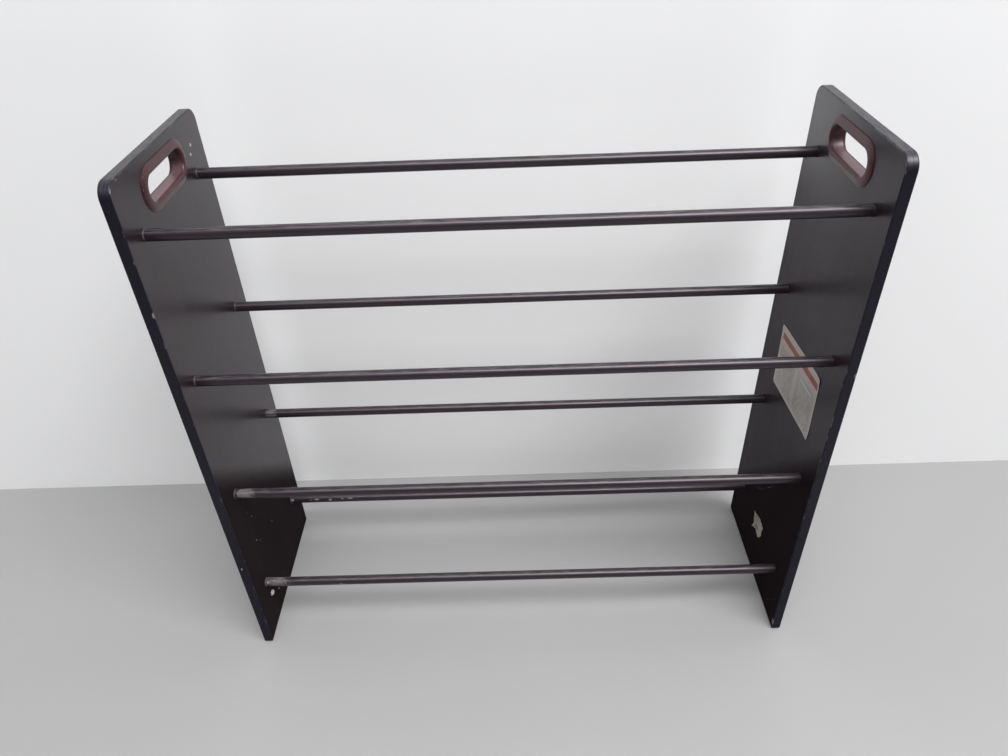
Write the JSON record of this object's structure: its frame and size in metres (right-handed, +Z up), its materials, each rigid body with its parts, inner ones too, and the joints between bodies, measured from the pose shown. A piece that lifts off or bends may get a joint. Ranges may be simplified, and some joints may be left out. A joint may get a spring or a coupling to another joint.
{
  "type": "shoe rack",
  "caption": "Open shoe rack: board side panels with lined hand slots, joined by tiers of paired round steel rails held by bolts.",
  "frame": {"origin": "on the floor, midway between the side panels and midway from front to rear", "axes": "+X along the rails to the right side panel, +Y from the front to the rear, +Z up"},
  "size_m": [0.7564, 0.24, 0.7],
  "materials": {
    "board": "particle board under a very dark brown semi-gloss film with a faint vertical grain",
    "edge_band": "satin black-brown edge strip",
    "grip": "moulded maroon plastic, soft sheen, fine spark texture",
    "rail": "glossy dark brown enamel on steel tube",
    "plug": "dark grey moulded plastic",
    "fastener": "zinc-plated steel",
    "glide": "black moulded plastic"
  },
  "bodies": {
    "root": {"side_panel_left": "board", "edge_band_left": "edge_band", "grip_inner_left": "grip", "grip_outer_left": "grip", "bolts_left": "fastener", "nuts_left": "fastener", "side_panel_right": "board", "edge_band_right": "edge_band", "grip_inner_right": "grip", "grip_outer_right": "grip", "bolts_right": "fastener", "nuts_right": "fastener", "rail_bottom_front": "rail", "plug_bottom_front_left": "plug", "plug_bottom_front_right": "plug", "rail_bottom_rear": "rail", "plug_bottom_rear_left": "plug", "plug_bottom_rear_right": "plug", "rail_lower_front": "rail", "plug_lower_front_left": "plug", "plug_lower_front_right": "plug", "rail_lower_rear": "rail", "plug_lower_rear_left": "plug", "plug_lower_rear_right": "plug", "rail_upper_front": "rail", "plug_upper_front_left": "plug", "plug_upper_front_right": "plug", "rail_upper_rear": "rail", "plug_upper_rear_left": "plug", "plug_upper_rear_right": "plug", "rail_top_front": "rail", "plug_top_front_left": "plug", "plug_top_front_right": "plug", "rail_top_rear": "rail", "plug_top_rear_left": "plug", "plug_top_rear_right": "plug", "glide_front_left": "glide", "glide_front_right": "glide", "glide_rear_left": "glide", "glide_rear_right": "glide"}
  },
  "joints": []
}
